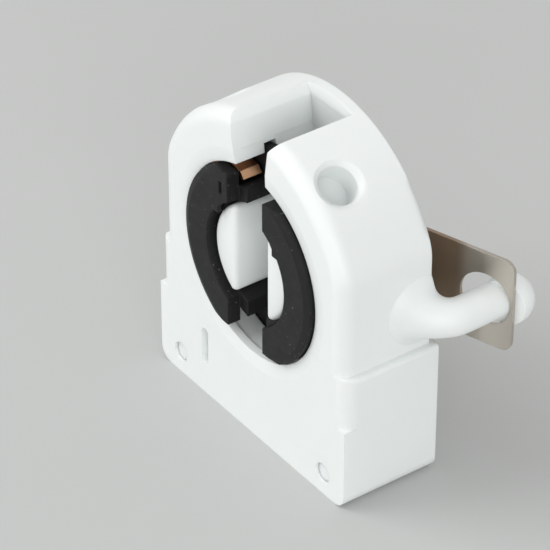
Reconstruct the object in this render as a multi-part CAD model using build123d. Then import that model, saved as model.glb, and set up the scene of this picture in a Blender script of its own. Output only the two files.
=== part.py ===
"""A rotary lamp holder for a straight fluorescent tube with a two-pin cap.

The origin is at the middle of the base's bottom face. X runs across the holder, Y runs from the
front face back towards the leaf spring, and Z runs up. A depth is measured from the front face
backwards, so depth 0 is the front face. All lengths are in millimetres.
"""
from build123d import *
import os
from math import atan2, cos, degrees, radians, sin, sqrt

# The lamp's cap that the holder takes
pin_diameter = 2.35
pin_spacing = 12.7
pin_length = 7.1
pin_play = 0.13
pin_end_play = 0.25

# Split post
post_radius = 5.0
post_gap = 4.26
post_front = 0.1
post_corner_radius = 0.45
cover_play = 0.05

# Rotor
running_gap = 0.07
hub_wall = 1.43
rotor_floor = 0.45
rotor_end_gap = 0.15
crescent_front = -0.45
crescent_back = 0.76
crescent_play = 0.15
crescent_inner_play = 0.35
crescent_bevel_width = 0.6
crescent_bevel_depth = 0.2
crescent_slot_half_width = 2.4
crescent_end_height = 7.35
nose_reach = 1.3
nose_height = 3.1
nose_back = -0.1
collar_play = 0.3
collar_thickness = 0.8

# Housing, outside
base_width = 26.0
base_height = 12.75
base_step = 0.5
base_corner_radius = 1.3
shelf_edge_radius = 0.35
soft_corner_radius = 1.3
soft_corner_bottom = 7.9
head_radius = 13.13
head_half_width = 12.35
head_edge_radius = 1.3
head_shoulder_radius = 4.0
axis_height = 17.1
head_centre_height = 17.3
wall = 1.2
back_wall = 0.95

# Housing, rotor opening and slot
lip_radius = 8.75
lip_depth = 0.9
lip_width = 0.25
dish_radius = 10.0
dish_depth = 0.15
groove_back = 3.0
slot_half_width = 2.0
slot_lean_height = 25.6
slot_mouth_half_width = 2.5
slot_bevel_height = 29.2
slot_bevel = 0.7

# Housing, shoulder holes and marks on the front
shoulder_hole_diameter = 3.4
shoulder_hole_rim = 0.25
shoulder_hole_angle = 54.0
shoulder_hole_depth = 3.2
oblong_mark_x = -6.5
oblong_mark_bottom = 3.1
oblong_mark_length = 3.6
oblong_mark_width = 0.9
oblong_mark_depth = 0.6

# Terminal chambers and wire inlets
web_half_width = 0.9
chamber_ceiling = 0.9
inlet_diameter = 2.2
inlet_shares = (0.25, 0.75)

# Pegs of the rear cover
peg_x = 10.1
peg_z = 2.1
peg_diameter = 1.7
peg_sink = 0.25
peg_wall = 0.8
peg_play = 0.05

# Contacts
contact_thickness = 0.4
contact_width = 1.8
contact_press = 0.225
contact_side_gap = 0.15
contact_wall_gap = 0.1
contact_hub_gap = 0.15
contact_root_angle = 55.0
contact_tip_x = 2.3
contact_tip_run = 0.45
contact_tip_rise = 0.5
plate_bottom = 3.4
plate_end_gap = 0.25
plate_front_gap = 0.45
plate_back_gap = 0.6

# Wire clamps
clamp_thickness = 0.3
clamp_bend_radius = 0.5
clamp_leg_bottom = 2.5
clamp_end_gap = 0.55
clamp_tip_share = 0.56
clamp_tip_gap = 0.2
clamp_split = 0.4

# Arms of the housing
arm_z = 16.5
arm_x = 14.8
arm_root_inset = 0.4
arm_pin_radius = 1.5
arm_root_radius = 2.9
ball_radius = 2.12
ball_x = 15.3
ball_set_back = 0.73

# Leaf spring
spring_thickness = 0.32
spring_height = 8.7
spring_reach = 16.6
spring_rise = 4.4
spring_flat_half_length = 3.35
spring_bend_radius = 6.0
spring_corner_radius = 1.0
spring_hole_radius = 2.38
spring_hole_inset = 2.5
spring_gap = 0.06
rest_pad_half_width = 3.2

# Depths worked out from those above
pin_slot_back = pin_length + pin_end_play
rotor_back = pin_slot_back + rotor_floor
cover_front = rotor_back + rotor_end_gap
head_depth = cover_front + back_wall
base_depth = head_depth + base_step
front_y = -base_depth / 2
collar_front = groove_back + rotor_end_gap
contact_front = lip_depth + contact_side_gap
plate_front = lip_depth + plate_front_gap
plate_back = cover_front - plate_back_gap

# Radii and widths worked out from those above
hub_radius = post_radius + running_gap + hub_wall
crescent_radius = lip_radius - crescent_play
crescent_inner_radius = post_radius + crescent_inner_play
groove_radius = lip_radius + lip_width
collar_radius = groove_radius + collar_play
rotor_room_radius = collar_radius + collar_play
pin_slot_half_width = pin_diameter / 2 + pin_play

# Places of the contacts and clamps worked out from those above
contact_leg_x = (pin_spacing + pin_diameter + contact_thickness) / 2 - contact_press
contact_radius = groove_radius - contact_wall_gap - contact_thickness / 2
contact_tip_radius = hub_radius + contact_hub_gap + contact_thickness / 2
ceiling_radius = rotor_room_radius + chamber_ceiling
plate_top = axis_height - sqrt(ceiling_radius ** 2 - contact_leg_x ** 2) - plate_end_gap
clamp_leg_top = axis_height - ceiling_radius - clamp_end_gap
clamp_tip_z = plate_bottom + clamp_tip_share * (plate_top - plate_bottom)

# Wings of the leaf spring worked out from those above
wing_slope = spring_rise / (spring_reach - spring_flat_half_length)
wing_angle = degrees(atan2(spring_rise, spring_reach - spring_flat_half_length))
spring_hole_x = spring_reach - spring_hole_inset
past = 2.0


def slab(outline, front, back):
    """The solid of a front-view outline between two depths."""
    return Pos(0, front_y + back, 0) * extrude(Plane.XZ * outline, amount=back - front)


def disc(radius, front, back):
    """A cylinder about the rotor's axis between two depths."""
    return slab(Pos(0, axis_height) * Circle(radius), front, back)


def block(left, right, bottom, top, front, back):
    """A box from its sides in the front view and its two depths."""
    outline = Pos((left + right) / 2, (bottom + top) / 2) * Rectangle(right - left, top - bottom)
    return slab(outline, front, back)


def both_sides(solid):
    """A solid of the right side together with its mirror image on the left."""
    return solid + mirror(solid, about=Plane.YZ)


def head_outline(inset):
    """The rounded head with its flat sides in the front view, down into the base."""
    half_width = head_half_width - inset
    radius = head_radius - inset
    foot = base_height / 2
    side_top = head_centre_height + sqrt(radius ** 2 - half_width ** 2)
    left = (-half_width, side_top)
    right = (half_width, side_top)
    outline = Polyline(left, (-half_width, foot), (half_width, foot), right)
    outline += ThreePointArc(right, (0, head_centre_height + radius), left)
    face = make_face(outline)
    return fillet(face.vertices().sort_by(Axis.Y)[-2:], head_shoulder_radius - inset)


def base_outline(inset):
    """The base in the front view."""
    size = Rectangle(base_width - 2 * inset, base_height - 2 * inset)
    return Pos(0, base_height / 2) * size


def head_block():
    """The head with its broad rounded front edge."""
    solid = slab(head_outline(0), 0, head_depth)
    front_face = solid.faces().sort_by(Axis.Y)[0]
    return fillet(front_face.edges().sort_by(Axis.Z)[1:], head_edge_radius)


def base_block():
    """The base, whose front corners are rounded only in their upper part."""
    solid = slab(base_outline(0), 0, base_depth)
    solid = fillet(solid.edges().filter_by(Axis.Y).group_by(Axis.Z)[0], base_corner_radius)
    solid = fillet(solid.edges().filter_by(Axis.Y).group_by(Axis.Z)[-1], shelf_edge_radius)
    size = soft_corner_radius
    right = base_width / 2
    corner = block(right - size, right + past, soft_corner_bottom, base_height + past, -past, size)
    height = base_height + past - soft_corner_bottom
    stay = Cylinder(size, height, align=(Align.CENTER, Align.CENTER, Align.MIN))
    corner -= Pos(right - size, front_y + size, soft_corner_bottom) * stay
    return solid - both_sides(corner)


def arm():
    """The right arm: a flared root, an elbow, a pin towards the back and a ball head."""
    root_depth = head_depth - arm_root_inset
    reach = arm_x - head_half_width
    place = Pos(head_half_width, front_y + root_depth, arm_z) * Rot(0, 90, 0)
    bottom = (Align.CENTER, Align.CENTER, Align.MIN)
    solid = place * Cone(arm_root_radius, arm_pin_radius, reach, align=bottom)
    solid += place * Pos(0, 0, -wall) * Cylinder(arm_root_radius, wall, align=bottom)
    elbow = Pos(arm_x, front_y + root_depth, arm_z)
    solid += elbow * Sphere(arm_pin_radius)
    pin_length_out = wing_depth(ball_x) + ball_set_back - root_depth
    solid += elbow * Rot(-90, 0, 0) * Cylinder(arm_pin_radius, pin_length_out, align=bottom)
    return solid + ball_head()


def wing_depth(x):
    """How deep the back of the leaf spring's wing lies at a distance from the middle."""
    front = base_depth + wing_slope * (x - spring_flat_half_length)
    return front + (spring_thickness + spring_gap) / cos(radians(wing_angle))


def ball_head():
    """The head that keeps the leaf spring on the arm, cut off parallel to the spring's wing."""
    behind = wing_depth(ball_x)
    ball = Pos(ball_x, front_y + behind + ball_set_back, arm_z) * Sphere(ball_radius)
    size = 4 * ball_radius
    cutter = Box(size, size, size, align=(Align.CENTER, Align.MAX, Align.CENTER))
    return ball - Pos(ball_x, front_y + behind, arm_z) * Rot(0, 0, wing_angle) * cutter


def top_slot(back):
    """The slot in the head that the lamp's pins come down, with leaning flanks and a bevelled mouth."""
    top = head_centre_height + head_radius + past
    bevel_top_half_width = slot_mouth_half_width + slot_bevel * (top - slot_bevel_height)
    right = [
        (slot_half_width, axis_height),
        (slot_half_width, slot_lean_height),
        (slot_mouth_half_width, slot_bevel_height),
        (bevel_top_half_width, top),
    ]
    left = [(-x, z) for x, z in reversed(right)]
    return slab(Polygon(*right, *left, align=None), -past, back)


def slot_back_bevel():
    """The bevel along the top of the slot's back wall."""
    rise = head_centre_height + head_radius + past - slot_bevel_height
    profile = Polygon((-past, 0), (0, 0), (slot_bevel * rise, rise), (-past, rise), align=None)
    place = Plane(origin=(0, front_y + cover_front, slot_bevel_height), x_dir=(0, 1, 0), z_dir=(1, 0, 0))
    return extrude(place * profile, amount=slot_mouth_half_width, both=True)


def dish():
    """The shallow ring around the rotor that slopes in to the lip."""
    profile = Polygon((0, -past), (dish_radius, -past), (dish_radius, 0), (lip_radius, dish_depth),
                      (0, dish_depth), align=None)
    place = Plane(origin=(0, front_y, axis_height), x_dir=(1, 0, 0), z_dir=(0, 0, 1))
    return revolve(place * profile, axis=Axis((0, 0, axis_height), (0, 1, 0)))


def shoulder_hole():
    """The blind round hole in the right shoulder, square to the curve of the head, with its rim."""
    radius = shoulder_hole_diameter / 2
    start = ceiling_radius
    drill = Cylinder(radius, head_radius + past - start, align=(Align.CENTER, Align.CENTER, Align.MIN))
    rim = Cone(radius, radius + 4 * shoulder_hole_rim, 4 * shoulder_hole_rim,
               align=(Align.CENTER, Align.CENTER, Align.MIN))
    drill = Pos(0, 0, start) * drill + Pos(0, 0, head_radius - shoulder_hole_rim * 2) * rim
    turn = Rot(0, 90 - shoulder_hole_angle, 0)
    return Pos(0, front_y + shoulder_hole_depth, head_centre_height) * turn * drill


def peg_place(outline):
    """An outline moved to the right peg in the front view."""
    return Pos(peg_x, peg_z) * outline


def terminal_chamber():
    """The right chamber in the base, open to the back, below the rotor's room and beside the peg."""
    outline = Pos((web_half_width + base_width / 2 - wall) / 2, base_height / 2)
    outline *= Rectangle(base_width / 2 - wall - web_half_width, base_height - 2 * wall)
    outline -= Pos(0, axis_height) * Circle(rotor_room_radius + chamber_ceiling)
    boss = peg_diameter / 2 + peg_play + peg_wall
    outline -= peg_place(Circle(boss) + Pos(boss, 0) * Rectangle(2 * boss, 2 * boss))
    outline -= peg_place(Pos(boss, -boss) * Rectangle(4 * boss, 2 * boss))
    return slab(outline, lip_depth, cover_front + past)


def leg_slot():
    """The way of the right contact's leg from the groove round the rotor into the chamber."""
    half = contact_thickness / 2 + contact_wall_gap
    back = contact_front + contact_width + contact_wall_gap
    return block(contact_leg_x - half, contact_leg_x + half, plate_top, axis_height, lip_depth, back)


def wire_inlets():
    """The two round inlets for wires in the bottom, on the right side."""
    x = contact_leg_x - contact_thickness / 2 - inlet_diameter / 2 + contact_wall_gap
    drill = Cylinder(inlet_diameter / 2, wall + past)
    inlets = Part()
    for share in inlet_shares:
        depth = plate_front + share * (plate_back - plate_front)
        inlets += Pos(x, front_y + depth, wall / 2) * drill
    return inlets


def oblong_mark():
    """The upright oblong recess in the front of the base."""
    outline = Rot(0, 0, 90) * SlotOverall(oblong_mark_length, oblong_mark_width)
    height = oblong_mark_bottom + oblong_mark_length / 2
    return slab(Pos(oblong_mark_x, height) * outline, -past, oblong_mark_depth)


def housing():
    """The white moulding with the base, the head and the two arms."""
    solid = head_block() + base_block() + both_sides(arm())
    solid -= disc(lip_radius, -past, groove_back)
    solid -= dish()
    solid -= disc(groove_radius, lip_depth, groove_back)
    solid -= disc(rotor_room_radius, groove_back, cover_front + past)
    solid -= slab(head_outline(wall) + base_outline(wall), cover_front, base_depth + past)
    solid -= both_sides(terminal_chamber())
    solid -= both_sides(leg_slot())
    solid -= both_sides(wire_inlets())
    solid -= top_slot(cover_front)
    solid -= slot_back_bevel()
    solid -= both_sides(shoulder_hole())
    solid -= both_sides(slab(peg_place(Circle(peg_diameter / 2 + peg_play)), -past, base_depth))
    return solid - oblong_mark()


def split_post():
    """The post that the rotor turns on, split in two by the way of the pins."""
    solid = disc(post_radius, post_front, cover_front)
    gap = block(-post_gap / 2, post_gap / 2, 0, 2 * axis_height, -past, cover_front)
    solid -= gap
    ends = solid.edges().filter_by(Axis.Y)
    return fillet(ends, post_corner_radius)


def rear_cover():
    """The cover that closes the housing behind, with the split post, the spring's rest and two pegs."""
    inset = wall + cover_play
    solid = slab(head_outline(inset) + base_outline(inset), cover_front, head_depth)
    solid += slab(base_outline(inset), cover_front, base_depth)
    pad_top = arm_z + spring_height / 2
    half = rest_pad_half_width
    solid += block(-half, half, base_height / 2, pad_top, head_depth, base_depth)
    solid += split_post()
    peg = slab(peg_place(Circle(peg_diameter / 2)), peg_sink, cover_front)
    return solid + both_sides(peg)


def rotor_front():
    """The two crescents that stand proud of the housing's front face, with flat ends and a nose each."""
    solid = disc(crescent_radius, crescent_front, crescent_back)
    front_face = solid.faces().sort_by(Axis.Y)[0]
    solid = chamfer(front_face.edges(), crescent_bevel_width, crescent_bevel_depth, reference=front_face)
    solid -= disc(crescent_inner_radius, crescent_front - past, crescent_back)
    solid += both_sides(nose())
    half = crescent_slot_half_width
    low = axis_height - crescent_end_height
    high = axis_height + crescent_end_height
    solid -= block(-half, half, low - past, high + past, crescent_front - past, crescent_back)
    for bottom in (low - past, high):
        solid -= block(-head_radius, head_radius, bottom, bottom + past, crescent_front - past,
                       crescent_back)
    return solid


def nose():
    """The nose at the upper end of the right crescent that hooks in over the post."""
    half = crescent_slot_half_width
    tip = half + nose_reach
    outline = Polygon((half, crescent_inner_radius), (tip, nose_height + nose_reach / 2),
                      (tip, nose_height), (crescent_inner_radius, nose_height), align=None)
    outline &= Circle(crescent_radius - crescent_bevel_width)
    return slab(Pos(0, axis_height) * outline, crescent_front, nose_back)


def rotor():
    """The black rotor: crescents in front, a hub with the pin slot, and a collar that holds it in."""
    solid = disc(hub_radius, crescent_back, rotor_back)
    solid += disc(collar_radius, collar_front, collar_front + collar_thickness)
    solid -= disc(post_radius + running_gap, crescent_back - past, rotor_back + past)
    half = pin_slot_half_width
    solid -= block(-half, half, 0, 2 * axis_height, -past, pin_slot_back)
    return solid + rotor_front()


def contact():
    """The right contact: a hooked strip beside the rotor, a leg, and its terminal plate."""
    tip_z = axis_height + sqrt(contact_tip_radius ** 2 - contact_tip_x ** 2)
    shoulder = (contact_tip_x + contact_tip_run, tip_z + contact_tip_rise)
    root_angle = radians(contact_root_angle)
    root = (contact_radius * cos(root_angle), axis_height + contact_radius * sin(root_angle))
    leg_angle = atan2(sqrt(contact_radius ** 2 - contact_leg_x ** 2), contact_leg_x)
    bend = (contact_leg_x, axis_height + contact_radius * sin(leg_angle))
    mid_angle = (root_angle + leg_angle) / 2
    middle = (contact_radius * cos(mid_angle), axis_height + contact_radius * sin(mid_angle))
    path = Line((contact_tip_x, tip_z), shoulder)
    path += Line(shoulder, root)
    path += ThreePointArc(root, middle, bend)
    path += Line(bend, (contact_leg_x, plate_bottom))
    strip = slab(trace(path, contact_thickness), contact_front, contact_front + contact_width)
    left = contact_leg_x - contact_thickness / 2
    right = left + contact_thickness
    return strip + block(left, right, plate_bottom, plate_top, plate_front, plate_back)


def clamp():
    """The right wire clamp: a folded leaf whose two tongues point up at the terminal plate."""
    leg_x = web_half_width + contact_wall_gap + clamp_thickness / 2
    tip_x = contact_leg_x - contact_thickness / 2 - clamp_tip_gap
    path = FilletPolyline((leg_x, clamp_leg_top), (leg_x, clamp_leg_bottom), (tip_x, clamp_tip_z),
                          radius=clamp_bend_radius)
    solid = slab(trace(path, clamp_thickness), plate_front, plate_back)
    middle = (plate_front + plate_back) / 2
    tongue_split = block(leg_x + clamp_bend_radius, tip_x + past, 0, plate_top,
                         middle - clamp_split / 2, middle + clamp_split / 2)
    return solid - tongue_split


def leaf_spring():
    """The bowed strip behind the housing, with a hole near each end for the arm's pin."""
    y = front_y + base_depth + spring_thickness / 2
    flat = spring_flat_half_length
    points = [(-spring_reach, y + spring_rise), (-flat, y), (flat, y), (spring_reach, y + spring_rise)]
    path = FilletPolyline(*points, radius=spring_bend_radius)
    bottom = arm_z - spring_height / 2
    solid = Pos(0, 0, bottom) * extrude(trace(path, spring_thickness), amount=spring_height)
    solid = round_spring_end(solid)
    hole = Rot(90, 0, 0) * Cylinder(spring_hole_radius, 4 * past)
    rise = wing_slope * (spring_hole_x - flat)
    hole = Pos(spring_hole_x, y + rise, arm_z) * Rot(0, 0, wing_angle) * hole
    return solid - both_sides(hole)


def round_spring_end(strip):
    """The strip with the four corners of its ends rounded."""
    corners = [edge for edge in strip.edges() if abs(edge.center().X) > spring_reach - spring_thickness
               and edge.length < 2 * spring_thickness]
    return fillet(corners, spring_corner_radius)


def write_parts():
    """Each piece in a file of its own name."""
    right_contact = contact()
    right_clamp = clamp()
    pieces = {
        "housing": housing(),
        "rear_cover": rear_cover(),
        "rotor": rotor(),
        "contact_right": right_contact,
        "contact_left": mirror(right_contact, about=Plane.YZ),
        "clamp_right": right_clamp,
        "clamp_left": mirror(right_clamp, about=Plane.YZ),
        "leaf_spring": leaf_spring(),
    }
    os.makedirs("parts", exist_ok=True)
    for name, piece in pieces.items():
        export_step(piece, f"parts/{name}.step")


write_parts()
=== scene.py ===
"""The looks of a rotary lamp holder for a fluorescent tube, as an add-on that is run as a script."""
import math

import bmesh
import bpy
from bpy.props import FloatProperty, FloatVectorProperty, PointerProperty
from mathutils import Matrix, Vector
from mathutils.kdtree import KDTree


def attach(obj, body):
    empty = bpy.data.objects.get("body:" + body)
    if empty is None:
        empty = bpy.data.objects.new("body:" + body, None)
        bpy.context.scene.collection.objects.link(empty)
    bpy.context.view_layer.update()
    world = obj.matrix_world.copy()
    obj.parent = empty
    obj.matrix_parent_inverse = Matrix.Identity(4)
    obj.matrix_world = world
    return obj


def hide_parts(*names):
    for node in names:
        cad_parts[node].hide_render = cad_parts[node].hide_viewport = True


bl_info = {
    "name": "Rotary lamp holder looks",
    "version": (1, 0, 0),
    "blender": (4, 5, 0),
    "location": "3D View > Sidebar > Lamp holder",
    "description": "Finishes and stage for a rotary fluorescent tube lamp holder",
    "category": "Object",
}

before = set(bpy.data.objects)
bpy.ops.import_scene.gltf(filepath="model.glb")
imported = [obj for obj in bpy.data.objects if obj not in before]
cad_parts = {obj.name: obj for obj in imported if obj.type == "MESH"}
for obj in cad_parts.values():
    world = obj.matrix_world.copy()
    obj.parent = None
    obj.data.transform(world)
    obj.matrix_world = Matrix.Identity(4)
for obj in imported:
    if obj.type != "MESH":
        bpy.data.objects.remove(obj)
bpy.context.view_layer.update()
MM = 0.001

# The photograph's camera, in the part's own frame: its place, the way it looks, and its focal length
# as a share of the sensor's width
CAMERA_PLACE = (179.87 * MM, -132.14 * MM, 174.10 * MM)
CAMERA_AIM = (-0.6586, 0.4760, -0.5828)
FOCAL_SHARE = 6.1056
SENSOR_WIDTH = 36.0

# The arms, in millimetres: the right one's path from inside the side wall to the pin, and how far
# along it the wall ends. Then the points of an elbow and of a path, and the sides of the section.
ARM_PATH = ((11.35, 3.2, 16.5), (14.8, 3.2, 16.5), (14.8, 7.7, 16.5))
ARM_START = 1.0
ELBOW_POINTS = 14
PATH_POINTS = 48
ARM_SIDES = 40

# Boxes in millimetres, each used with its mirror image: they take off the plain arm, the lug behind
# the head, and what the flare puts behind the head
ARM_CUT = ((12.36, -1.0, 12.8), (18.0, 7.1, 21.0))
LUG_CUT = ((10.9, 4.21, 12.8), (12.5, 7.1, 21.0))
FLARE_CUT = ((10.9, 4.3, 12.8), (13.1, 9.0, 21.0))

# The arms' smooth skin: the grain in millimetres, and how far and how often it is relaxed
ARM_VOXEL = 0.14
RELAX_SHARE = 0.5
RELAX_STEPS = 8

# Linings of the slot's flanks, in millimetres: the rotor's axis, the lip that they end at, their
# inner corners, outer side and top, and two depth ranges that leave the rotor's collar its room.
# The last is the steps along the lip.
AXIS_HEIGHT = 17.1
LIP_RADIUS = 8.75
LINING_INNER = ((2.003, 25.62), (2.139, 26.6))
LINING_SIDE = 3.4
LINING_TOP = 26.9
LINING_DEPTHS = ((-3.85, -1.7), (-0.55, 3.25))
LINING_STEPS = 4

# Plain back wall of the slot, in millimetres: the head's arch that it ends at, its half width and
# foot, the rear cover's top, and the depths of its face, of the cover's face and of its back. The
# last is the steps along the arch.
HEAD_CENTRE = 17.3
HEAD_RADIUS = 13.12
BACK_WALL_HALF = 3.2
BACK_WALL_FOOT = 26.4
COVER_TOP = 29.2
BACK_WALL_DEPTHS = (3.19, 3.235, 4.19)
ARCH_STEPS = 12

# The slit in the left crescent, as a box in millimetres
SLIT = ((-3.55, -5.4, 22.25), (-3.15, -4.9, 23.45))

# Split post, in millimetres: its front and the play round it, the depth and radius that hold all of
# the post, the width of its front's rounding, and the box round the faces that the rounding makes
POST_FRONT = -4.6
FRONT_PLAY = 0.01
POST_BACK = 3.0
POST_RADIUS = 5.05
POST_ROUNDING = 0.65
ROUNDING_STEPS = 5
POST_ZONE = ((-1.0, -5.0, 11.8), (5.2, -3.9, 22.4))

# Angles in radians: the most between faces of one flat, and the least at a corner
FLAT_ANGLE = math.radians(0.5)
CORNER_ANGLE = 0.5

# Copied shading: the distance in metres within which corners are the same, the least agreement
# between their faces, and the value that leaves a corner's shading to Blender
MERGE = 0.000001
SAME_FACING = 0.9
AUTOMATIC = (0.0, 0.0, 0.0)

# Fine patterns: waves per metre and octaves of detail
WHITE_CLOUDS = (180.0, 3.0)
WHITE_GLOSS = (420.0, 4.0)
WHITE_GRAIN = (2600.0, 3.0)
BLACK_PATCHES = (700.0, 4.0)
BLACK_SPECKS = (3300.0, 1.0)
BLACK_GLOSS = (900.0, 5.0)
BLACK_GRAIN = (5200.0, 4.0)
COPPER_TARNISH = (600.0, 4.0)
COPPER_GLOSS = (1500.0, 3.0)
COPPER_GRAIN = (3000.0, 2.0)
STEEL_STREAKS = (900.0, 6.0)
STEEL_STAINS = (260.0, 5.0)
PAPER_TOOTH = (30.0, 4.0)

# Factors on a colour at a pattern's two ends
WHITE_SHADES = (0.985, 1.01)
BLACK_SHADES = (0.8, 1.5)
COPPER_SHADES = (1.0, 0.72)
STEEL_SHADES = (0.88, 1.05)
PAPER_SHADES = (0.98, 1.02)

# What a pattern adds to the roughness at its two ends; the copper's roughness is given whole
WHITE_ROUGH = (-0.06, 0.06)
BLACK_ROUGH = (-0.1, 0.12)
STEEL_ROUGH = (-0.05, 0.1)
COPPER_ROUGHNESS = (0.25, 0.42)
PAPER_ROUGHNESS = 0.85

# Reliefs: strength, and height in metres
WHITE_RELIEF = (0.12, 0.00002)
BLACK_RELIEF = (0.25, 0.00002)
COPPER_RELIEF = (0.15, 0.00001)
STEEL_RELIEF = (0.3, 0.000004)

# Edge radii of the strips, in metres, and the rays that measure an edge
COPPER_EDGE = 0.00005
STEEL_EDGE = 0.00004
EDGE_SAMPLES = 8

# Optics of the plastics, with how far red, green and blue light go inside the white one, in metres
WHITE_IOR = 1.46
WHITE_TRANSLUCENCY = 0.25
WHITE_LIGHT_WAYS = (0.0012, 0.0011, 0.001)
BLACK_IOR = 1.5
BLACK_SHINE = 0.2

# Values of the speck pattern where a speck of dust begins and where it is full
SPECK_FROM = 0.70
SPECK_FULL = 0.76

# Stretch of the streaks on the clamps and on the leaf spring
CLAMP_STREAK = (4.0, 1.0, 4.0)
SPRING_STREAK = (0.3, 0.3, 6.0)

# Millimetres from the middle where the spring's painted reflection, a brownish tone that stands for
# the shade the strip mirrors, ends and where the steel is bare
PAINTED_REFLECTION_FULL_TO = 11.3
PAINTED_REFLECTION_GONE_FROM = 12.7

# Softer edges round the shoulder holes, in millimetres: the middle of the right one's mouth, the
# distances from it where the softness is full and gone, and the extra radius
HOLE_MOUTH = (10.62, 1.5, 25.02)
SOFT_FULL = 3.0
SOFT_GONE = 3.8
SOFT_EXTRA = 0.75

# Stage in metres: half the floor's width, and the point that the lamps look at
FLOOR_REACH = 2.0
LAMP_AIM = (0.0, 0.0, 0.015)

# Soft lamps: name, place in metres, side in metres, watts at full lamp power
LAMPS = (
    ("key", (-0.28, -0.30, 0.42), 0.35, 1.13),
    ("top", (0.05, 0.05, 0.60), 0.50, 0.31),
    ("low_right", (0.50, -0.30, 0.14), 0.40, 1.44),
    ("low_left", (-0.30, -0.50, 0.16), 0.40, 0.50),
)


class HolderPlastics(bpy.types.PropertyGroup):
    """Colours and finish of the moulded pieces"""

    white: FloatVectorProperty(name="White", description="Colour of the housing and its rear cover",
                               subtype="COLOR", default=(0.85, 0.88, 0.87))
    white_roughness: FloatProperty(name="White roughness",
                                   description="Gloss of the white mouldings",
                                   subtype="FACTOR", default=0.42, min=0.0, max=1.0)
    black: FloatVectorProperty(name="Black", description="Colour of the rotor",
                               subtype="COLOR", default=(0.012, 0.012, 0.0125))
    dust: FloatVectorProperty(name="Dust", description="Colour of the specks on the rotor",
                              subtype="COLOR", default=(0.10, 0.10, 0.10))
    black_roughness: FloatProperty(name="Black roughness", description="Gloss of the rotor",
                                   subtype="FACTOR", default=0.5, min=0.0, max=1.0)
    edge_radius: FloatProperty(name="Edge radius", description="Softness of the moulded edges",
                               unit="LENGTH", default=0.12 * MM)
    post_edge_radius: FloatProperty(name="Post edge radius",
                                    description="Softness of the split post's edges",
                                    unit="LENGTH", default=0.4 * MM)


class HolderArms(bpy.types.PropertyGroup):
    """Sizes of the two arms that carry the leaf spring"""

    root_radius: FloatProperty(name="Root radius",
                               description="Radius of the arm where it leaves the head",
                               unit="LENGTH", default=3.3 * MM)
    pin_radius: FloatProperty(name="Pin radius", description="Radius of the arm behind its elbow",
                              unit="LENGTH", default=1.53 * MM)
    flare: FloatProperty(name="Flare", description="Length over which the root thins down",
                         unit="LENGTH", default=0.8 * MM)
    elbow_radius: FloatProperty(name="Elbow radius",
                                description="Radius of the bend along its middle",
                                unit="LENGTH", default=2.2 * MM)


class HolderMetals(bpy.types.PropertyGroup):
    """Colours and finish of the metal pieces"""

    copper: FloatVectorProperty(name="Copper", description="Colour of the contact strips",
                                subtype="COLOR", default=(0.83, 0.47, 0.28))
    steel: FloatVectorProperty(name="Steel",
                               description="Colour of the clamps and of the spring's ends",
                               subtype="COLOR", default=(0.60, 0.55, 0.49))
    # Painted reflection: a brownish colour along the spring's middle that stands for the shade the
    # strip mirrors
    painted_reflection_brown: FloatVectorProperty(name="Brown steel",
                               description="Heat tint along the spring's middle",
                               subtype="COLOR", default=(0.40, 0.30, 0.225))
    steel_roughness: FloatProperty(name="Steel roughness", description="Gloss of the rolled strip",
                                   subtype="FACTOR", default=0.2, min=0.0, max=1.0)


class HolderStage(bpy.types.PropertyGroup):
    """Floor and lamps"""

    floor: FloatVectorProperty(name="Floor",
                               description="Colour of the paper that the holder stands on",
                               subtype="COLOR", default=(0.55, 0.56, 0.55))
    lamp_power: FloatProperty(name="Lamps", description="Strength of the soft lamps, as a factor",
                              default=1.0, min=0.0)
    world: FloatProperty(name="Surroundings", description="Strength of the even light all round",
                         default=0.615, min=0.0)


def new_material(name):
    """An empty node material with its shader and output joined."""
    material = bpy.data.materials.new(name)
    material.use_nodes = True
    tree = material.node_tree
    tree.nodes.clear()
    shader = tree.nodes.new("ShaderNodeBsdfPrincipled")
    output = tree.nodes.new("ShaderNodeOutputMaterial")
    tree.links.new(shader.outputs["BSDF"], output.inputs["Surface"])
    return material, tree, shader


def object_place(tree):
    """The socket that gives a point's place on the piece, in metres."""
    return tree.nodes.new("ShaderNodeTexCoord").outputs["Object"]


def noise(tree, pattern, place):
    """A noise pattern over the piece."""
    node = tree.nodes.new("ShaderNodeTexNoise")
    node.inputs["Scale"].default_value, node.inputs["Detail"].default_value = pattern
    tree.links.new(place, node.inputs["Vector"])
    return node.outputs["Fac"]


def spread(tree, value, low, high):
    """A pattern's value from 0 to 1 taken to a range of its own."""
    node = tree.nodes.new("ShaderNodeMapRange")
    node.inputs["To Min"].default_value = low
    node.inputs["To Max"].default_value = high
    tree.links.new(value, node.inputs["Value"])
    return node.outputs["Result"]


def mix(tree, factor, first, second):
    """A colour between two, each given as a colour or as a socket."""
    node = tree.nodes.new("ShaderNodeMix")
    node.data_type = "RGBA"
    for socket, colour in ((node.inputs["A"], first), (node.inputs["B"], second)):
        if isinstance(colour, bpy.types.NodeSocket):
            tree.links.new(colour, socket)
        else:
            socket.default_value = (*colour, 1.0)
    tree.links.new(factor, node.inputs["Factor"])
    return node.outputs["Result"]


def shade(colour, factor):
    """A colour made lighter or darker by a factor."""
    return tuple(min(1.0, channel * factor) for channel in colour)


def shaded(tree, value, colour, factors):
    """A colour that a pattern makes lighter and darker."""
    return mix(tree, value, *[shade(colour, factor) for factor in factors])


def rough(tree, value, roughness, steps):
    """A roughness that a pattern varies."""
    return spread(tree, value, *[roughness + step for step in steps])


def relief(tree, value, size, normal):
    """A fine relief from a pattern, on top of the soft edges."""
    node = tree.nodes.new("ShaderNodeBump")
    node.inputs["Strength"].default_value, node.inputs["Distance"].default_value = size
    tree.links.new(value, node.inputs["Height"])
    tree.links.new(normal, node.inputs["Normal"])
    return node.outputs["Normal"]


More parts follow.
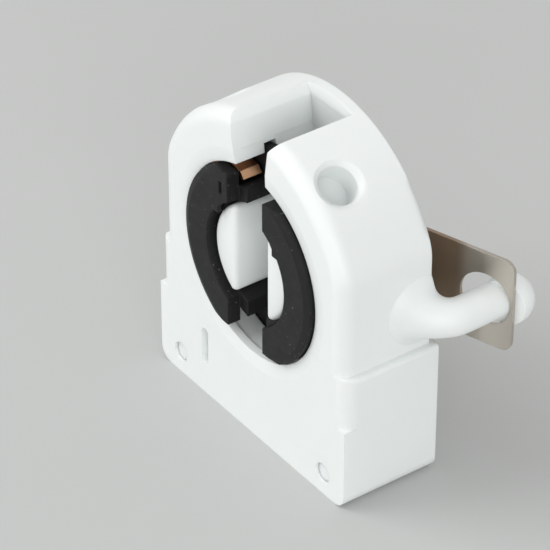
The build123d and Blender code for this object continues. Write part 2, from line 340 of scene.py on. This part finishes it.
def soft_edges(tree, radius):
    """Shading that rounds the edges of a moulding or a stamping."""
    node = tree.nodes.new("ShaderNodeBevel")
    node.samples = EDGE_SAMPLES
    if isinstance(radius, float):
        node.inputs["Radius"].default_value = radius
    else:
        tree.links.new(radius, node.inputs["Radius"])
    return node.outputs["Normal"]


def softer_holes(tree, place, radius):
    """An edge radius that is larger round the two shoulder holes."""
    right = tree.nodes.new("ShaderNodeVectorMath")
    right.operation = "ABSOLUTE"
    tree.links.new(place, right.inputs[0])
    away = tree.nodes.new("ShaderNodeVectorMath")
    away.operation = "DISTANCE"
    tree.links.new(right.outputs["Vector"], away.inputs[0])
    away.inputs[1].default_value = [c * MM for c in HOLE_MOUTH]
    wider = tree.nodes.new("ShaderNodeMapRange")
    wider.inputs["From Min"].default_value = SOFT_FULL * MM
    wider.inputs["From Max"].default_value = SOFT_GONE * MM
    wider.inputs["To Min"].default_value = radius + SOFT_EXTRA * MM
    wider.inputs["To Max"].default_value = radius
    tree.links.new(away.outputs["Value"], wider.inputs["Value"])
    return wider.outputs["Result"]


def white_plastic(name, settings, radius, holes=False):
    """White moulded thermoplastic: faint flow clouds, a little gloss and a fine tool texture."""
    material, tree, shader = new_material(name)
    place = object_place(tree)
    colour = shaded(tree, noise(tree, WHITE_CLOUDS, place), settings.white, WHITE_SHADES)
    tree.links.new(colour, shader.inputs["Base Color"])
    gloss = rough(tree, noise(tree, WHITE_GLOSS, place), settings.white_roughness, WHITE_ROUGH)
    tree.links.new(gloss, shader.inputs["Roughness"])
    shader.inputs["IOR"].default_value = WHITE_IOR
    shader.inputs["Subsurface Weight"].default_value = WHITE_TRANSLUCENCY
    shader.inputs["Subsurface Radius"].default_value = WHITE_LIGHT_WAYS
    shader.inputs["Subsurface Scale"].default_value = 1.0
    edges = soft_edges(tree, softer_holes(tree, place, radius) if holes else radius)
    grain = relief(tree, noise(tree, WHITE_GRAIN, place), WHITE_RELIEF, edges)
    tree.links.new(grain, shader.inputs["Normal"])
    return material


def black_plastic(settings):
    """Black moulded thermoplastic with a satin skin, lighter rubbed patches and specks of dust."""
    material, tree, shader = new_material("black_plastic")
    place = object_place(tree)
    colour = shaded(tree, noise(tree, BLACK_PATCHES, place), settings.black, BLACK_SHADES)
    specks = tree.nodes.new("ShaderNodeMapRange")
    specks.inputs["From Min"].default_value = SPECK_FROM
    specks.inputs["From Max"].default_value = SPECK_FULL
    tree.links.new(noise(tree, BLACK_SPECKS, place), specks.inputs["Value"])
    dusty = mix(tree, specks.outputs["Result"], colour, settings.dust)
    tree.links.new(dusty, shader.inputs["Base Color"])
    gloss = rough(tree, noise(tree, BLACK_GLOSS, place), settings.black_roughness, BLACK_ROUGH)
    tree.links.new(gloss, shader.inputs["Roughness"])
    shader.inputs["IOR"].default_value = BLACK_IOR
    shader.inputs["Specular IOR Level"].default_value = BLACK_SHINE
    edges = soft_edges(tree, 2 * settings.edge_radius)
    grain = relief(tree, noise(tree, BLACK_GRAIN, place), BLACK_RELIEF, edges)
    tree.links.new(grain, shader.inputs["Normal"])
    return material


def copper_strip(settings):
    """Bare copper alloy strip with rolling marks and faint tarnish."""
    material, tree, shader = new_material("copper_alloy")
    place = object_place(tree)
    colour = shaded(tree, noise(tree, COPPER_TARNISH, place), settings.copper, COPPER_SHADES)
    tree.links.new(colour, shader.inputs["Base Color"])
    gloss = spread(tree, noise(tree, COPPER_GLOSS, place), *COPPER_ROUGHNESS)
    tree.links.new(gloss, shader.inputs["Roughness"])
    shader.inputs["Metallic"].default_value = 1.0
    edges = soft_edges(tree, COPPER_EDGE)
    grain = relief(tree, noise(tree, COPPER_GRAIN, place), COPPER_RELIEF, edges)
    tree.links.new(grain, shader.inputs["Normal"])
    return material


def painted_reflection_tint(tree, place, colour, painted_reflection_brown):
    """Painted reflection: steel given a brownish tone along the strip's middle, standing for the shade
    that it mirrors, and bare at its ends.
    """
    parts = tree.nodes.new("ShaderNodeSeparateXYZ")
    tree.links.new(place, parts.inputs["Vector"])
    across = tree.nodes.new("ShaderNodeMath")
    across.operation = "ABSOLUTE"
    tree.links.new(parts.outputs["X"], across.inputs[0])
    # Mask of the painted reflection: 0 along the spring's middle, where the painted shade is full,
    # rising to 1 at the bare ends
    edge = tree.nodes.new("ShaderNodeMapRange")
    edge.interpolation_type = "SMOOTHSTEP"
    edge.inputs["From Min"].default_value = PAINTED_REFLECTION_FULL_TO * MM
    edge.inputs["From Max"].default_value = PAINTED_REFLECTION_GONE_FROM * MM
    tree.links.new(across.outputs["Value"], edge.inputs["Value"])
    return mix(tree, edge.outputs["Result"], painted_reflection_brown, colour)


def steel_strip(name, settings, streak, with_painted_reflection=False):
    """Bright rolled steel with streaks along the strip and faint stains, and on the spring a painted
    reflection along its middle.
    """
    material, tree, shader = new_material(name)
    place = object_place(tree)
    stretch = tree.nodes.new("ShaderNodeMapping")
    stretch.inputs["Scale"].default_value = streak
    tree.links.new(place, stretch.inputs["Vector"])
    lines = noise(tree, STEEL_STREAKS, stretch.outputs["Vector"])
    stains = noise(tree, STEEL_STAINS, place)
    colour = shaded(tree, stains, settings.steel, STEEL_SHADES)
    # Painted reflection: a brownish tone along the spring's middle that stands for the shade the strip
    # mirrors
    if with_painted_reflection:
        colour = painted_reflection_tint(tree, place, colour, settings.painted_reflection_brown)
    tree.links.new(colour, shader.inputs["Base Color"])
    gloss = rough(tree, stains, settings.steel_roughness, STEEL_ROUGH)
    tree.links.new(gloss, shader.inputs["Roughness"])
    shader.inputs["Metallic"].default_value = 1.0
    grain = relief(tree, lines, STEEL_RELIEF, soft_edges(tree, STEEL_EDGE))
    tree.links.new(grain, shader.inputs["Normal"])
    return material


def dress(node, material):
    """Gives a piece of the frame its finish."""
    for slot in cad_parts[node].material_slots:
        slot.material = material


def scene_object(name, data):
    """An object in the scene with the mesh, curve, lamp or camera that it is given."""
    thing = bpy.data.objects.new(name, data)
    bpy.context.scene.collection.objects.link(thing)
    return thing


def merged_copy(node, name):
    """A closed mesh object made from a copy of a piece of the frame."""
    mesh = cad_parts[node].data.copy()
    mesh.name = name
    work = bmesh.new()
    work.from_mesh(mesh)
    bmesh.ops.remove_doubles(work, verts=work.verts, dist=MERGE)
    work.to_mesh(mesh)
    work.free()
    mesh.materials.clear()
    return scene_object(name, mesh)


def baked(piece):
    """Replaces an object's mesh or curve by its evaluated mesh and drops its modifiers."""
    graph = bpy.context.evaluated_depsgraph_get()
    mesh = bpy.data.meshes.new_from_object(piece.evaluated_get(graph))
    mesh.name = piece.name
    solid = scene_object(piece.name + "_solid", mesh)
    bpy.data.objects.remove(piece)
    return solid


def arm_tree(material):
    """A node tree that sweeps a round section with a flared root along each path."""
    tree = bpy.data.node_groups.new("flared_arm", "GeometryNodeTree")
    face = tree.interface
    face.new_socket("Path", in_out="INPUT", socket_type="NodeSocketGeometry")
    for name in ("Root radius", "Pin radius", "Flare", "Elbow radius", "Start"):
        face.new_socket(name, in_out="INPUT", socket_type="NodeSocketFloat")
    face.new_socket("Arm", in_out="OUTPUT", socket_type="NodeSocketGeometry")
    given = tree.nodes.new("NodeGroupInput")
    result = tree.nodes.new("NodeGroupOutput")

    def math_node(operation, *values):
        node = tree.nodes.new("ShaderNodeMath")
        node.operation = operation
        for socket, value in zip(node.inputs, values):
            if isinstance(value, float):
                socket.default_value = value
            else:
                tree.links.new(value, socket)
        return node.outputs["Value"]

    bend = tree.nodes.new("GeometryNodeFilletCurve")
    bend.mode = "POLY"
    bend.inputs["Count"].default_value = ELBOW_POINTS
    tree.links.new(given.outputs["Path"], bend.inputs["Curve"])
    tree.links.new(given.outputs["Elbow radius"], bend.inputs["Radius"])
    even = tree.nodes.new("GeometryNodeResampleCurve")
    even.inputs["Count"].default_value = PATH_POINTS
    tree.links.new(bend.outputs["Curve"], even.inputs["Curve"])
    along = tree.nodes.new("GeometryNodeSplineParameter").outputs["Length"]
    clear = math_node("MAXIMUM", math_node("SUBTRACT", along, given.outputs["Start"]), 0.0)
    flares = math_node("DIVIDE", clear, given.outputs["Flare"])
    decay = math_node("EXPONENT", math_node("MULTIPLY", flares, -1.0))
    extra = math_node("SUBTRACT", given.outputs["Root radius"], given.outputs["Pin radius"])
    radius = math_node("ADD", given.outputs["Pin radius"], math_node("MULTIPLY", extra, decay))
    sized = tree.nodes.new("GeometryNodeSetCurveRadius")
    tree.links.new(even.outputs["Curve"], sized.inputs["Curve"])
    tree.links.new(radius, sized.inputs["Radius"])
    ring = tree.nodes.new("GeometryNodeCurvePrimitiveCircle")
    ring.inputs["Resolution"].default_value = ARM_SIDES
    ring.inputs["Radius"].default_value = 1.0
    sweep = tree.nodes.new("GeometryNodeCurveToMesh")
    sweep.inputs["Fill Caps"].default_value = True
    tree.links.new(sized.outputs["Curve"], sweep.inputs["Curve"])
    tree.links.new(ring.outputs["Curve"], sweep.inputs["Profile Curve"])
    tree.links.new(radius, sweep.inputs["Scale"])
    real = tree.nodes.new("GeometryNodeRealizeInstances")
    tree.links.new(sweep.outputs["Mesh"], real.inputs["Geometry"])
    paint = tree.nodes.new("GeometryNodeSetMaterial")
    paint.inputs["Material"].default_value = material
    tree.links.new(real.outputs["Geometry"], paint.inputs["Geometry"])
    tree.links.new(paint.outputs["Geometry"], result.inputs["Arm"])
    return tree


def flared_arms(settings, material):
    """The two arms as closed forms: a flared root, a smooth elbow and the start of the pin."""
    line = bpy.data.curves.new("arm_paths", "CURVE")
    line.dimensions = "3D"
    for side in (1, -1):
        spline = line.splines.new("POLY")
        spline.points.add(len(ARM_PATH) - 1)
        for point, (x, y, z) in zip(spline.points, ARM_PATH):
            point.co = (side * x * MM, y * MM, z * MM, 1.0)
    paths = scene_object("arm_paths", line)
    tree = arm_tree(material)
    sweep = paths.modifiers.new("flared_arm", "NODES")
    sweep.node_group = tree
    values = {
        "Root radius": settings.root_radius,
        "Pin radius": settings.pin_radius,
        "Flare": settings.flare,
        "Elbow radius": settings.elbow_radius,
        "Start": ARM_START * MM,
    }
    for item in tree.interface.items_tree:
        if item.in_out == "INPUT" and item.name in values:
            sweep[item.identifier] = values[item.name]
    arms = baked(paths)
    boxes = cutters(FLARE_CUT)
    skin(arms)
    for box in boxes:
        combine(arms, "DIFFERENCE", box)
    skin(arms)
    relax = arms.modifiers.new("relax", "SMOOTH")
    relax.factor = RELAX_SHARE
    relax.iterations = RELAX_STEPS
    arms = baked(arms)
    discard(boxes)
    return arms


def skin(piece):
    """Gives crossing forms one closed skin of small even faces."""
    step = piece.modifiers.new("skin", "REMESH")
    step.mode = "VOXEL"
    step.voxel_size = ARM_VOXEL * MM


def cutter(low, high):
    """A box for cutting, from its lowest and highest corners in millimetres."""
    mesh = bpy.data.meshes.new("cutter")
    work = bmesh.new()
    bmesh.ops.create_cube(work, size=1.0)
    for vert in work.verts:
        vert.co = [MM * (a if c < 0 else b) for c, a, b in zip(vert.co, low, high)]
    work.to_mesh(mesh)
    work.free()
    return scene_object("cutter", mesh)


def cutters(corners):
    """A box on the right side and its mirror image on the left."""
    low, high = corners
    return [cutter(low, high), cutter((-high[0], *low[1:]), (-low[0], *high[1:]))]


def discard(pieces):
    """Removes objects that only served to make others."""
    for piece in pieces:
        bpy.data.objects.remove(piece)


def combine(piece, operation, other):
    """Joins another closed form to a piece, or cuts it away."""
    step = piece.modifiers.new(operation.lower(), "BOOLEAN")
    step.operation = operation
    step.solver = "EXACT"
    step.object = other


def copy_shading(piece, node, outside=None):
    """Takes a CAD piece's shading corner by corner, but not for faces in a box or its mirror image."""
    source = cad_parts[node].data
    corners = KDTree(len(source.loops))
    facing = [None] * len(source.loops)
    for face in source.polygons:
        for corner in face.loop_indices:
            corners.insert(source.vertices[source.loops[corner].vertex_index].co, corner)
            facing[corner] = face.normal.copy()
    corners.balance()
    mesh = piece.data
    mesh.polygons.foreach_set("use_smooth", [True] * len(mesh.polygons))
    normals = [AUTOMATIC] * len(mesh.loops)
    for face in mesh.polygons:
        middle = (abs(face.center.x) / MM, face.center.y / MM, face.center.z / MM)
        if outside and all(low < c < high for low, c, high in zip(outside[0], middle, outside[1])):
            continue
        for corner in face.loop_indices:
            place = mesh.vertices[mesh.loops[corner].vertex_index].co
            normals[corner] = face.normal.copy()
            best = SAME_FACING
            for _, index, _ in corners.find_range(place, 2 * MERGE):
                match = facing[index].dot(face.normal)
                if match > best:
                    best = match
                    normals[corner] = source.corner_normals[index].vector.copy()
    mesh.normals_split_custom_set(normals)


def add_ring(work, outline, depth):
    """The corners of a front-view outline at one depth, all in millimetres."""
    return [work.verts.new((x * MM, depth * MM, z * MM)) for x, z in outline]


def add_sides(work, front, back):
    """The faces between two rings of as many corners."""
    for i in range(len(front)):
        j = (i + 1) % len(front)
        work.faces.new((front[i], front[j], back[j], back[i]))


def add_prism(work, outline, front, back):
    """A closed form from a front-view outline between two depths, all in millimetres."""
    rings = [add_ring(work, outline, depth) for depth in (front, back)]
    work.faces.new(rings[0])
    work.faces.new(rings[1])
    add_sides(work, *rings)


def form_object(work, name):
    """An object with the closed forms that were made."""
    bmesh.ops.recalc_face_normals(work, faces=work.faces)
    mesh = bpy.data.meshes.new(name)
    work.to_mesh(mesh)
    work.free()
    return scene_object(name, mesh)


def arc(centre, radius, first, last, steps):
    """Points of the front view along the top of a circle, from one place across to another."""
    places = [first + (last - first) * step / steps for step in range(steps + 1)]
    return [(x, centre + math.sqrt(radius ** 2 - x ** 2)) for x in places]


def flank_linings():
    """Forms that carry the slot's flanks down to the lip."""
    work = bmesh.new()
    low, high = LINING_INNER
    foot = arc(AXIS_HEIGHT, LIP_RADIUS, LINING_SIDE, low[0], LINING_STEPS)
    outline = foot + [high, (high[0], LINING_TOP), (LINING_SIDE, LINING_TOP)]
    for side in (1, -1):
        for front, back in LINING_DEPTHS:
            add_prism(work, [(side * x, z) for x, z in outline], front, back)
    return form_object(work, "flank_linings")


def back_lining():
    """A plain back wall of the slot from the rotor up to the arch, deeper above the rear cover."""
    work = bmesh.new()
    half = BACK_WALL_HALF
    arch = arc(HEAD_CENTRE, HEAD_RADIUS, half, -half, ARCH_STEPS)
    left, right = [[(x, COVER_TOP), (x, BACK_WALL_FOOT)] for x in (-half, half)]
    whole = arch + left + right[::-1]
    above = arch + left[:1] + right[:1]
    front, step, back = [add_ring(work, outline, depth)
                         for outline, depth in zip((whole, whole, above), BACK_WALL_DEPTHS)]
    work.faces.new(front)
    add_sides(work, front, step)
    foot = step[len(arch):]
    work.faces.new(foot)
    add_sides(work, step[:len(arch)] + foot[:1] + foot[-1:], back)
    work.faces.new(back)
    return form_object(work, "back_lining")


def finish_piece(piece, name, material):
    """Names a piece and its mesh and gives it its one material."""
    piece.name = piece.data.name = name
    piece.data.materials.clear()
    piece.data.materials.append(material)
    return piece


def rotor_piece(material):
    """The rotor with the narrow slit in the front of its left crescent."""
    piece = merged_copy("rotor", "rotor_moulding")
    slit = cutter(*SLIT)
    combine(piece, "DIFFERENCE", slit)
    solid = baked(piece)
    discard([slit])
    copy_shading(solid, "rotor")
    return finish_piece(solid, "rotor_moulding", material)


def cover_piece(material):
    """The rear cover with the broadly rounded front edges of its split post."""
    piece = merged_copy("rear_cover", "cover_moulding")
    work = bmesh.new()
    work.from_mesh(piece.data)

    def on_post(vert):
        across = math.hypot(vert.co.x / MM, vert.co.z / MM - AXIS_HEIGHT)
        return across < POST_RADIUS and vert.co.y < POST_BACK * MM

    def on_front(vert):
        return abs(vert.co.y / MM - POST_FRONT) < FRONT_PLAY

    verts = [vert for vert in work.verts if on_post(vert)]
    edges = [edge for edge in work.edges if all(on_post(vert) for vert in edge.verts)]
    bmesh.ops.dissolve_limit(work, angle_limit=FLAT_ANGLE, verts=verts, edges=edges)
    rim = [edge for edge in work.edges if all(on_front(vert) for vert in edge.verts)
           and edge.is_manifold and edge.calc_face_angle() > CORNER_ANGLE]
    bmesh.ops.bevel(work, geom=rim, offset=POST_ROUNDING * MM, segments=ROUNDING_STEPS, profile=0.5,
                    affect="EDGES", clamp_overlap=True)
    work.to_mesh(piece.data)
    work.free()
    copy_shading(piece, "rear_cover", POST_ZONE)
    return finish_piece(piece, "cover_moulding", material)


def housing_piece(settings, material):
    """The housing with its arms flared and bent as they are moulded, and its slot lined."""
    piece = merged_copy("housing", "housing_moulding")
    boxes = cutters(ARM_CUT) + cutters(LUG_CUT)
    for box in boxes:
        combine(piece, "DIFFERENCE", box)
    arms = flared_arms(settings, material)
    added = [arms, flank_linings(), back_lining()]
    for form in added:
        combine(piece, "UNION", form)
    solid = baked(piece)
    discard(boxes + added)
    copy_shading(solid, "housing", ARM_CUT)
    return finish_piece(solid, "housing_moulding", material)


class HOLDER_OT_white_mouldings(bpy.types.Operator):
    """Finish the housing with its arms, and the rear cover"""

    bl_idname = "lamp_holder.white_mouldings"
    bl_label = "White mouldings"

    def execute(self, context):
        scene = context.scene
        plastics = scene.holder_plastics
        cover = cover_piece(white_plastic("cover_plastic", plastics, plastics.post_edge_radius))
        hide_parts("rear_cover")
        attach(cover, "holder")
        white = white_plastic("housing_plastic", plastics, plastics.edge_radius, holes=True)
        housing = housing_piece(scene.holder_arms, white)
        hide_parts("housing")
        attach(housing, "holder")
        return {"FINISHED"}


class HOLDER_OT_rotor(bpy.types.Operator):
    """Finish the rotor"""

    bl_idname = "lamp_holder.rotor"
    bl_label = "Rotor"

    def execute(self, context):
        rotor = rotor_piece(black_plastic(context.scene.holder_plastics))
        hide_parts("rotor")
        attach(rotor, "rotor")
        return {"FINISHED"}


class HOLDER_OT_metal_pieces(bpy.types.Operator):
    """Finish the contacts, the wire clamps and the leaf spring"""

    bl_idname = "lamp_holder.metal_pieces"
    bl_label = "Metal pieces"

    def execute(self, context):
        settings = context.scene.holder_metals
        copper = copper_strip(settings)
        clamp = steel_strip("clamp_steel", settings, CLAMP_STREAK)
        # The spring's steel carries a painted reflection of shade along its middle
        spring = steel_strip("spring_steel", settings, SPRING_STREAK, with_painted_reflection=True)
        for side in ("left", "right"):
            dress("contact_" + side, copper)
            dress("clamp_" + side, clamp)
        dress("leaf_spring", spring)
        return {"FINISHED"}


def paper_material(settings):
    """Pale grey paper with a faint tooth."""
    material, tree, shader = new_material("paper")
    place = object_place(tree)
    colour = shaded(tree, noise(tree, PAPER_TOOTH, place), settings.floor, PAPER_SHADES)
    tree.links.new(colour, shader.inputs["Base Color"])
    shader.inputs["Roughness"].default_value = PAPER_ROUGHNESS
    return material


def turn_to(thing, direction):
    """Turns a lamp or a camera to look along a direction."""
    thing.rotation_euler = direction.to_track_quat("-Z", "Y").to_euler()


def area_lamp(name, place, size, power):
    """A square soft lamp that looks at the holder."""
    data = bpy.data.lights.new(name, "AREA")
    data.energy = power
    data.size = size
    lamp = scene_object(name, data)
    lamp.location = place
    turn_to(lamp, Vector(LAMP_AIM) - Vector(place))


def paper_floor(material):
    """The square of paper that the holder stands on."""
    mesh = bpy.data.meshes.new("paper_floor")
    reach = FLOOR_REACH
    corners = [(-reach, -reach, 0), (reach, -reach, 0), (reach, reach, 0), (-reach, reach, 0)]
    mesh.from_pydata(corners, [], [(0, 1, 2, 3)])
    mesh.materials.append(material)
    return scene_object("paper_floor", mesh)


def photo_camera():
    """The camera that sees the holder as the photograph does."""
    data = bpy.data.cameras.new("photo_camera")
    data.sensor_width = SENSOR_WIDTH
    data.lens = SENSOR_WIDTH * FOCAL_SHARE
    camera = scene_object("photo_camera", data)
    camera.location = CAMERA_PLACE
    turn_to(camera, Vector(CAMERA_AIM))
    return camera


class HOLDER_OT_stage(bpy.types.Operator):
    """Lay the floor and set the lamps and the camera"""

    bl_idname = "lamp_holder.stage"
    bl_label = "Stage"

    def execute(self, context):
        settings = context.scene.holder_stage
        floor = paper_floor(paper_material(settings))
        for name, place, size, watts in LAMPS:
            area_lamp(name, place, size, settings.lamp_power * watts)
        world = bpy.data.worlds.new("surroundings")
        world.use_nodes = True
        light = world.node_tree.nodes["Background"]
        light.inputs["Color"].default_value = (1.0, 1.0, 1.0, 1.0)
        light.inputs["Strength"].default_value = settings.world
        context.scene.world = world
        context.scene.camera = photo_camera()
        context.scene.view_settings.view_transform = "Standard"
        return {"FINISHED"}


class HOLDER_PT_panel(bpy.types.Panel):
    """The settings and the steps in the sidebar"""

    bl_idname = "HOLDER_PT_panel"
    bl_label = "Lamp holder"
    bl_space_type = "VIEW_3D"
    bl_region_type = "UI"
    bl_category = "Lamp holder"

    def draw(self, context):
        scene = context.scene
        groups = (scene.holder_plastics, scene.holder_arms, scene.holder_metals, scene.holder_stage)
        for settings in groups:
            box = self.layout.box()
            for name in settings.__annotations__:
                box.prop(settings, name)
        for operator in OPERATORS:
            self.layout.operator(operator.bl_idname)


SETTINGS = (HolderPlastics, HolderArms, HolderMetals, HolderStage)
OPERATORS = (HOLDER_OT_white_mouldings, HOLDER_OT_rotor, HOLDER_OT_metal_pieces, HOLDER_OT_stage)


def register():
    for cls in SETTINGS + OPERATORS + (HOLDER_PT_panel,):
        bpy.utils.register_class(cls)
    bpy.types.Scene.holder_plastics = PointerProperty(type=HolderPlastics)
    bpy.types.Scene.holder_arms = PointerProperty(type=HolderArms)
    bpy.types.Scene.holder_metals = PointerProperty(type=HolderMetals)
    bpy.types.Scene.holder_stage = PointerProperty(type=HolderStage)


def unregister():
    del bpy.types.Scene.holder_stage
    del bpy.types.Scene.holder_metals
    del bpy.types.Scene.holder_arms
    del bpy.types.Scene.holder_plastics
    for cls in reversed(SETTINGS + OPERATORS + (HOLDER_PT_panel,)):
        bpy.utils.unregister_class(cls)


def main():
    register()
    bpy.ops.lamp_holder.white_mouldings()
    bpy.ops.lamp_holder.rotor()
    bpy.ops.lamp_holder.metal_pieces()
    bpy.ops.lamp_holder.stage()


if __name__ == "__main__":
    main()
